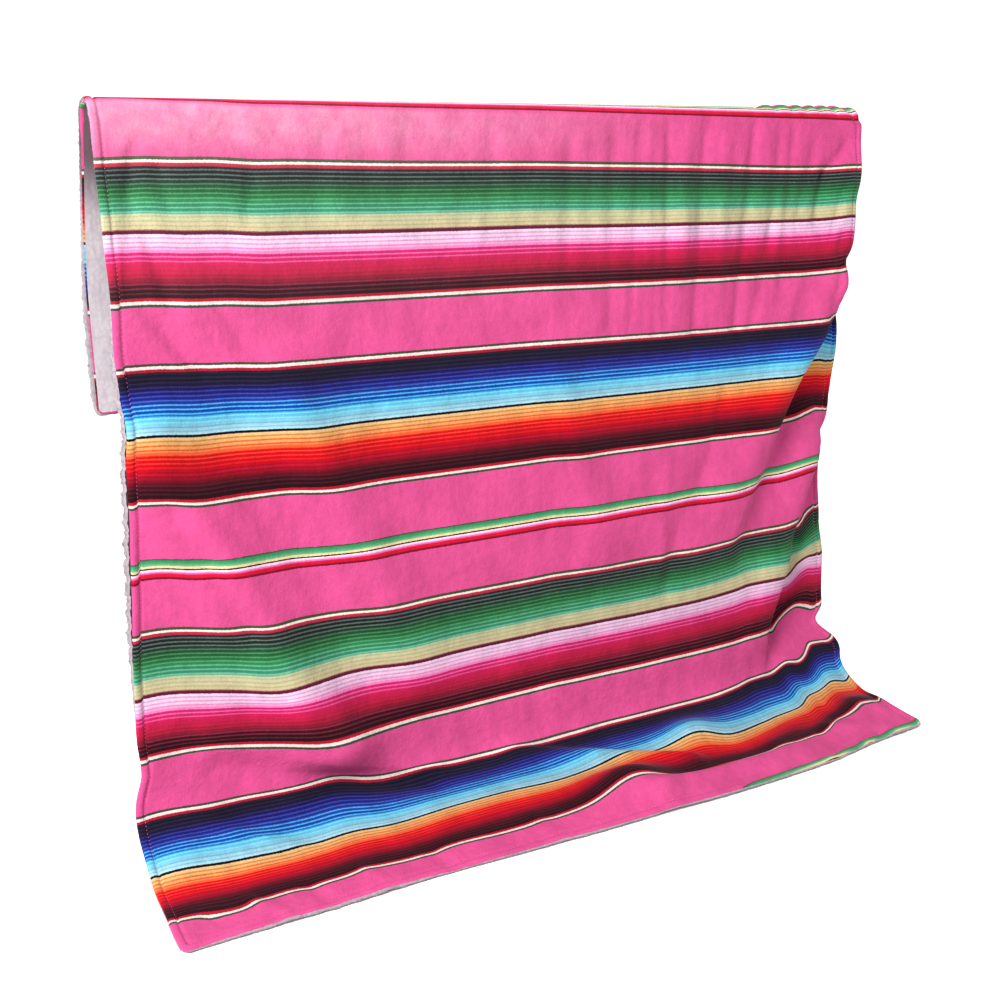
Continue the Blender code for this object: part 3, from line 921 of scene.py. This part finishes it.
# The stripes down one repeat of the chart: (millimetres, colour). Each half band has its ground, with the
# thin lines at its outer edge, then the colour of its woven-look hairlines, where the first lies and their
# pitch.
pinkGround = "#DC5A94"
halfBands = (
    {
        "from": 66.5,
        "to": 160.3,
        "ground": (
            (66.5, "#4C5638"), (70.3, "#4C5638"), (70.7, "#F2E6E0"), (73.4, "#F2E6E0"), (73.9, "#BE3848"),
            (77.8, "#B23044"), (78.4, "#2E2A35"), (86, "#23272A"), (93, "#1F2A27"), (99, "#2A4A35"),
            (105, "#245834"), (112, "#296A3C"), (119, "#358454"), (125, "#36865C"), (131, "#3C8E72"),
            (134.5, "#5AA486"), (136.2, "#C6C29E"), (146, "#CFC19B"), (155.4, "#CFBC93"), (155.9, "#6A1C3E"),
            (160.2, "#6A1C3E"),
        ),
        "hairs": (
            (78, "#5D6B66"), (93, "#5F7365"), (100, "#46785A"), (106, "#4A8A5C"), (114, "#4C9666"),
            (122, "#68B08C"), (134, "#74BC9C"), (136.5, "#A8BA92"), (146, "#ADB58B"), (154, "#B6B18B"),
            (155.5, "#6A1C3E"),
        ),
        "first": 82.1,
        "pitch": 5.65,
    },
    {
        "from": 160.3,
        "to": 249.3,
        "ground": (
            (160.4, "#E8D0E2"), (172, "#E8CADF"), (178, "#E8B2D2"), (180.5, "#EC82BA"), (183, "#CE2A72"),
            (194, "#CC2560"), (203, "#C22452"), (209, "#B6264A"), (216, "#9C2139"), (219.5, "#74203A"),
            (222, "#4B1526"), (230, "#341019"), (238, "#30101B"), (238.4, "#B61D33"), (241.8, "#B61D33"),
            (242.3, "#EADFD8"), (245.8, "#EADFD8"), (246.4, "#3F5240"), (249.2, "#3F5240"),
        ),
        "hairs": (
            (160.5, "#D9A3CF"), (171, "#DD9ACB"), (177, "#E884BD"), (181, "#F090C6"), (187, "#EC6CA8"),
            (193, "#E66098"), (197, "#C42856"), (204, "#BB2345"), (210, "#A51F3C"), (215, "#861A30"),
            (219, "#9A2F45"), (226, "#7D2C3E"), (232, "#5F2833"), (238, "#45202C"),
        ),
        "first": 164.9,
        "pitch": 5.65,
    },
    {
        "from": 318.3,
        "to": 411.1,
        "ground": (
            (318.3, "#47503A"), (321.4, "#47503A"), (321.8, "#EEE1DC"), (325.3, "#EAD8D5"),
            (325.7, "#B02638"), (329, "#A8203A"), (329.6, "#1F1C2B"), (343, "#1E1B2E"), (349, "#211A48"),
            (356, "#221F66"),
            (363, "#23297F"), (370, "#263A9A"), (373.5, "#1F4AA6"), (378, "#1142A0"), (383.5, "#1A66B4"),
            (385.5, "#55B5DC"), (392, "#70BFDD"), (399, "#92C8D8"), (407.6, "#B2DAE6"), (408.2, "#15111A"),
            (411, "#15111A"),
        ),
        "hairs": (
            (329, "#2B2938"), (346, "#2D2A4E"), (353, "#37409A"), (364, "#3D56B4"), (372, "#58B8EC"),
            (382, "#56B6EA"), (386, "#7FD6EE"), (395, "#86D6EA"), (398, "#77ACC4"), (407, "#8DC3D6"),
            (408, "#15111A"),
        ),
        "first": 331.4,
        "pitch": 5.56,
    },
    {
        "from": 411.1,
        "to": 500.1,
        "ground": (
            (411.2, "#E3C598"), (416, "#E4B67C"), (424, "#E4A36A"), (429, "#E58F58"), (432, "#E64C30"),
            (436, "#CC0C12"), (446, "#C80816"), (453, "#C2071E"), (458, "#BB1430"), (464, "#96102A"),
            (468, "#6D1524"), (472, "#451420"), (480, "#30101A"), (489.4, "#2C0F18"), (489.8, "#B81C30"),
            (493.4, "#B81C30"), (493.9, "#EDE3DE"), (496.7, "#EDE3DE"), (497.3, "#45503C"), (500, "#45503C"),
        ),
        "hairs": (
            (411, "#CB9448"), (417, "#CB883C"), (422, "#D46E36"), (428, "#DF5A2E"), (433, "#F9683F"),
            (440, "#F04038"), (447, "#E0323C"), (452, "#D0182E"), (455, "#99112C"), (467, "#7C1026"),
            (474, "#5E1D2B"), (488, "#431B26"),
        ),
        "first": 416.1,
        "pitch": 5.6,
    },
)
narrowStripe = (
    (572, "#4A3030"), (573, "#3D5A40"), (573.5, "#3A8A58"), (578, "#4EA572"), (581.6, "#86BB95"),
    (582.2, "#EAD9A6"), (584.9, "#ECD9A6"), (585.3, "#241018"), (586.8, "#241018"), (587.2, "#F9E3F2"),
    (589.6, "#F7D0EA"), (590.4, "#F290C4"), (592.6, "#F0559C"), (593.2, "#DD2045"), (597.6, "#CF1A3A"),
    (598.2, "#8C1030"), (600.8, "#7C1430"),
)


def mapRange(tree, value, start, end, **settings):
    span = {"Value": value, "From Min": start, "From Max": end}
    return addNode(tree, "ShaderNodeMapRange", settings, **span).outputs[0]


def fadeOver(tree, value, start, end):
    # 0 at the start, 1 at the end, softly
    return mapRange(tree, value, start, end, interpolation_type="SMOOTHSTEP")


def addRamp(tree, place, stops, start, end):
    # a colour ramp over a stretch of the chart, in millimetres
    ramp = addNode(tree, "ShaderNodeValToRGB", None, Fac=mapRange(tree, place, start, end))
    elements = ramp.color_ramp.elements
    for k, (at, colour) in enumerate(stops):
        element = elements[k] if k < 2 else elements.new(1.0)
        element.position = min(max((at - start) / (end - start), 0.0), 1.0)
        element.color = linear(colour)
    return ramp.outputs["Color"]


def mixColours(tree, amount, first, second):
    return addNode(tree, "ShaderNodeMix", {"data_type": "RGBA"}, in0=amount, in6=first, in7=second).outputs[2]


def compute(tree, operation, first, second=0.0, third=0.0):
    node = addNode(tree, "ShaderNodeMath", {"operation": operation}, in0=first, in1=second, in2=third)
    return node.outputs[0]


def times(tree, first, second):
    return compute(tree, "MULTIPLY", first, second)


def between(tree, value, low, high):
    return times(tree, compute(tree, "GREATER_THAN", value, low), compute(tree, "LESS_THAN", value, high))


def clothPlace(tree):
    # where on the flat cloth, in millimetres: as one vector, and how far across and down it
    uv = addNode(tree, "ShaderNodeUVMap", {"uv_map": "cloth"}).outputs[0]
    where = addNode(tree, "ShaderNodeVectorMath", {"operation": "SCALE"}, in0=uv, Scale=1000.0).outputs[0]
    parts = addNode(tree, "ShaderNodeSeparateXYZ", None, in0=where).outputs
    return where, parts[0], parts[1]


def softPatch(tree, across, down, acrossFades, downFades):
    # 1 inside and 0 outside, by fades from one place to another, in millimetres
    amount = 1.0
    for value, fades in ((down, downFades), (across, acrossFades)):
        for start, end in fades:
            amount = times(tree, amount, fadeOver(tree, value, start, end))
    return amount


def clothNoise(tree, where, **numbers):
    return addNode(tree, "ShaderNodeTexNoise", {"noise_dimensions": "2D"}, Vector=where, **numbers).outputs[0]


def unevenLight(tree, where, size, low, high):
    noise = clothNoise(tree, where, Scale=1 / size, Detail=3.0, Roughness=0.6)
    spread = {"Value": noise, "From Min": 0.3, "From Max": 0.7, "To Min": low, "To Max": high}
    return addNode(tree, "ShaderNodeMapRange", {"clamp": False}, **spread).outputs[0]


def dress(tree, shader, colour, height, strength, distance, numbers):
    # the shader's colour and bump, and its plain numbers by the names of their sockets
    tree.links.new(colour, shader.inputs["Base Color"])
    bump = addNode(tree, "ShaderNodeBump", None, Strength=strength, Distance=distance, Height=height)
    tree.links.new(bump.outputs[0], shader.inputs["Normal"])
    for name, value in numbers.items():
        shader.inputs[name].default_value = value


plushLook = {
    "depth": 0.455,  # the pile swallows light, so the print shows darker than its inks
    "bleed": 0.8,  # how far the ink wanders in the pile, in millimetres
    "narrow": (572.0, 600.9),  # where the narrow stripe lies in the repeat
    "pile": 2.2,  # millimetres; a real tuft is under 1, too fine for the render
    "ruffle": 11.0,
    "nap": 55.0,
    "napDrawn": (1.5, 0.8, 1.0),
    # painted sheen: a pale patch below the crest at the left, then a fainter pale haze over the upper left
    "paintedSheen": 0.22,
    "paintedSheenColour": "#FFF0F6",
    "paintedSheenFades": (((1000.0, 120.0),), ((85.0, 22.0), (-3.0, 6.0))),  # across the cloth, then down it
    "sheenHaze": 0.014,  # painted sheen: a faint pale haze over the upper left, where the light grazes the pile
    "sheenHazeFades": (((1150.0, 250.0),), ((330.0, 230.0),)),
    "paintedBendLight": 0.16,  # painted light: how much lighter the cloth is painted where it bends out toward the floor and faces up
    "bendLightFades": (((380.0, 560.0), (1080.0, 900.0)), ((780.0, 840.0), (960.0, 890.0))),
}


def printedPlush():
    # microfibre plush, woven then brushed and printed by heat transfer: soft colours, no gloss, a faint
    # velvety sheen at grazing angles, patches of nap that lie two ways, and stripes whose edges bleed a
    # little in the pile
    look = plushLook
    material, tree, shader = newMaterial("printed brushed plush")
    where, across, down = clothPlace(tree)
    wander = clothNoise(tree, where, Scale=0.45, Detail=2.0)
    wander = compute(tree, "MULTIPLY_ADD", wander, look["bleed"] * 2, -look["bleed"])
    place = compute(tree, "FLOORED_MODULO", compute(tree, "ADD", down, wander), printing["repeat"] * 1000)
    colour = linear(pinkGround)
    for band in halfBands:
        limits = (band["from"], band["to"])
        ground = addRamp(tree, place, band["ground"], *limits)
        hair = addRamp(tree, place, band["hairs"], *limits)
        turn = 2 * math.pi / band["pitch"]
        wave = compute(tree, "COSINE", compute(tree, "MULTIPLY_ADD", place, turn, -turn * band["first"]))
        haired = between(tree, place, band["hairs"][0][0], band["hairs"][-1][0])
        onHair = times(tree, fadeOver(tree, wave, -0.1, 0.95), haired)
        striped = mixColours(tree, onHair, ground, hair)
        colour = mixColours(tree, between(tree, place, *limits), colour, striped)
    narrow = addRamp(tree, place, narrowStripe, 572.0, 601.0)
    colour = mixColours(tree, between(tree, place, *look["narrow"]), colour, narrow)
    # painted sheen: the pile is painted pale below the crest at the left, where the light grazes it
    pale = times(tree, softPatch(tree, across, down, *look["paintedSheenFades"]), look["paintedSheen"])
    pale = times(tree, pale, unevenLight(tree, where, 24.0, 0.75, 1.25))
    colour = mixColours(tree, pale, colour, linear(look["paintedSheenColour"]))
    # painted sheen: a fainter pale haze over the upper left
    sheenHaze = times(tree, softPatch(tree, across, down, *look["sheenHazeFades"]), look["sheenHaze"])
    colour = mixColours(tree, sheenHaze, colour, linear(look["paintedSheenColour"]))
    # patches of nap, drawn out down the cloth, then ruffles and tufts
    stretch = {"in0": where, "in1": look["napDrawn"]}
    drawn = addNode(tree, "ShaderNodeVectorMath", {"operation": "MULTIPLY"}, **stretch).outputs[0]
    light = unevenLight(tree, drawn, look["nap"], 0.89, 1.07)
    light = times(tree, light, unevenLight(tree, where, look["ruffle"], 0.96, 1.03))
    # painted light: lighter where the cloth bends out to the floor and faces up to the lamps
    bend = softPatch(tree, across, down, *look["bendLightFades"])
    light = times(tree, light, compute(tree, "MULTIPLY_ADD", bend, look["paintedBendLight"], 1.0))
    tufts = unevenLight(tree, where, look["pile"], 0.93, 1.07)
    light = times(tree, times(tree, light, tufts), look["depth"])
    shaded = {"Hue": 0.5, "Saturation": 1.0, "Value": light, "Color": colour}
    colour = addNode(tree, "ShaderNodeHueSaturation", None, **shaded).outputs[0]
    ruffles = unevenLight(tree, where, look["ruffle"], 0.0, 1.0)
    height = compute(tree, "MULTIPLY_ADD", ruffles, 1.4, tufts)
    dress(tree, shader, colour, height, 0.4, 0.0009, {
        "Roughness": 0.92,
        "Specular IOR Level": 0.08,
        "Sheen Weight": 0.05,
        "Sheen Roughness": 0.5,
        "Sheen Tint": linear("#FFD0E6"),
    })
    return material


def curledFleece(name, pale, hollowShade):
    # polyester sherpa fleece, knitted and tumbled to curls: off-white and matt, with painted shade down
    # between its curls
    material, tree, shader = newMaterial(name)
    where, across, down = clothPlace(tree)
    cells = {"voronoi_dimensions": "2D", "feature": "SMOOTH_F1"}
    curls = addNode(tree, "ShaderNodeTexVoronoi", cells, Vector=where, Scale=1 / 6.5, Smoothness=0.6)
    fine = clothNoise(tree, where, Scale=0.5, Detail=4.0, Roughness=0.65, Distortion=1.2)
    height = compute(tree, "MULTIPLY_ADD", fine, 0.5, times(tree, curls.outputs[0], -0.9))
    # painted shade: the colour darkens down between the curls, by the bump's height
    colour = mixColours(tree, mapRange(tree, height, -0.6, 0.3), linear(hollowShade), linear(pale))
    flattened = compute(tree, "SUBTRACT", 1.0, unevenLight(tree, where, 38.0, 0.80, 1.0))
    colour = mixColours(tree, flattened, colour, linear("#6C6267"))
    # painted shade: darker and greyer near the rail, where the narrow gap between the panels lies in shade
    railShade = fadeOver(tree, compute(tree, "ABSOLUTE", compute(tree, "ADD", down, 12.0)), 165.0, 70.0)
    colour = mixColours(tree, times(tree, railShade, 0.95), colour, linear("#4A363E"))
    dress(tree, shader, colour, height, 0.28, 0.0012, {
        "Roughness": 1.0,
        "Specular IOR Level": 0.1,
        "Sheen Weight": 0.25,
        "Sheen Roughness": 0.6,
    })
    return material


def polyesterThread():
    # twisted polyester sewing thread, pale pink, a slight gloss along its twist
    material, tree, shader = newMaterial("pale pink sewing thread")
    where = addNode(tree, "ShaderNodeTexCoord").outputs["Object"]
    twist = addNode(tree, "ShaderNodeTexNoise", None, Vector=where, Scale=900.0, Detail=2.0)
    colour = mixColours(tree, twist.outputs[0], linear("#C9417F"), linear("#EE86B6"))
    tree.links.new(colour, shader.inputs["Base Color"])
    shader.inputs["Roughness"].default_value = 0.55
    return material


def waxedBirch():
    # birch dowel, turned, sanded and waxed: pale, fine straight grain along the rod, satin
    material, tree, shader = newMaterial("waxed birch dowel")
    where = addNode(tree, "ShaderNodeTexCoord").outputs["Object"]
    stretched = addNode(tree, "ShaderNodeMapping", None, Vector=where, Scale=(6.0, 260.0, 260.0)).outputs[0]
    turned = {"Scale": 1.0, "Detail": 5.0, "Roughness": 0.6, "Distortion": 0.4}
    grain = addNode(tree, "ShaderNodeTexNoise", None, Vector=stretched, **turned).outputs[0]
    colour = mixColours(tree, mapRange(tree, grain, 0.35, 0.7), linear("#D9B98C"), linear("#B98D5C"))
    dress(tree, shader, colour, grain, 0.15, 0.0003, {
        "Roughness": 0.42,
        "Coat Weight": 0.15,
        "Coat Roughness": 0.35,
    })
    return material


# Put the pieces together

plush = makePlush()
plush.data.materials.append(printedPlush())
print("plush:", len(plush.data.polygons), "faces")
fleece, fleeceRim, rimShape = makeFleece()
loose = makeFluff(*rimShape)
fleece.data.materials.append(curledFleece("curled sherpa fleece", "#9E979B", "#938B90"))
# painted shade: the rim and loose fibres get a darker copy of the fleece, since the lamps light the edge more
# directly
shadedRimMaterial = curledFleece("sherpa fleece, painted darker at its edge", "#82797E", "#6E656A")
for piece in (fleeceRim, loose):
    piece.data.materials.append(shadedRimMaterial)
for piece in (fleece, fleeceRim, loose):
    print(piece.name + ":", len(piece.data.polygons), "faces")
stitches = makeStitches()
stitches.data.materials.append(polyesterThread())
print("topstitching:", len(stitches.data.polygons), "faces")

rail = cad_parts["hanging_rail"]
rail.material_slots[0].material = waxedBirch()

for piece in (plush, fleece, fleeceRim, loose, stitches):
    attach(piece, "root")
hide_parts("plush_face")
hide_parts("sherpa_back")


# Floor, light and camera

studio = {
    "world": "#FFFFFF",
    "worldStrength": 1.03,
    "keyPlace": (-3.5, -1.9, 2.0),
    "keyPower": 385.0,
    "keySize": 1.6,
    "fillPlace": (-0.6, -4.2, -0.2),
    "fillPower": 12.0,
    "topPlace": (-0.6, 0.6, 2.6),
    "topPower": 30.0,
}


def areaLight(name, place, target, power, size):
    light = bpy.data.lights.new(name, "AREA")
    light.energy, light.size, light.shape = power, size, "SQUARE"
    lamp = bpy.data.objects.new(name, light)
    lamp.location = place
    toward = np.array(target) - np.array(place)
    flat = math.hypot(toward[0], toward[1])
    lamp.rotation_euler = (math.atan2(flat, -toward[2]), 0.0, math.atan2(-toward[0], toward[1]))
    bpy.context.scene.collection.objects.link(lamp)
    return lamp


floorMesh = bpy.data.meshes.new("studio_floor")
floorHeight, reach = -cloth["railHeight"] - 0.0002, 9
floorCorners = [(x * reach, y * reach, floorHeight) for x, y in ((-1, -1), (1, -1), (1, 1), (-1, 1))]
floorMesh.from_pydata(floorCorners, [], [(0, 1, 2, 3)])
floor = bpy.data.objects.new("studio_floor", floorMesh)
bpy.context.scene.collection.objects.link(floor)
floorMaterial, floorTree, floorShader = newMaterial("matt studio paper")
floorShader.inputs["Base Color"].default_value = linear("#F6F5F4")
floorShader.inputs["Roughness"].default_value = 0.9
floorShader.inputs["Specular IOR Level"].default_value = 0.1
floorMesh.materials.append(floorMaterial)

world = bpy.data.worlds.new("studio")
world.use_nodes = True
world.node_tree.nodes["Background"].inputs[0].default_value = linear(studio["world"])
world.node_tree.nodes["Background"].inputs[1].default_value = studio["worldStrength"]
bpy.context.scene.world = world
areaLight("key", studio["keyPlace"], (0, 0, -0.45), studio["keyPower"], studio["keySize"])
areaLight("fill", studio["fillPlace"], (0, 0, -0.5), studio["fillPower"], 2.0)
areaLight("top", studio["topPlace"], (0, -0.2, -0.9), studio["topPower"], 1.8)
bpy.context.scene.view_settings.view_transform = "Standard"
bpy.context.scene.view_settings.look = "Medium High Contrast"

# the photograph's place: in front and to the left of the throw, just under the rail's height
shot = {"place": (-1.1931, -1.7387, 0.0016), "turn": 33.433, "down": 14.790, "roll": 0.526, "lens": 52.27}
camera = bpy.data.objects.new("camera", bpy.data.cameras.new("camera"))
camera.data.lens = shot["lens"]
camera.data.sensor_width = 36.0
facing = Matrix.Rotation(math.radians(-shot["turn"]), 4, "Z")
facing = facing @ Matrix.Rotation(math.radians(90 - shot["down"]), 4, "X")
roll = Matrix.Rotation(math.radians(shot["roll"]), 4, "Z")
camera.matrix_world = Matrix.Translation(shot["place"]) @ facing @ roll
bpy.context.scene.collection.objects.link(camera)
bpy.context.scene.camera = camera
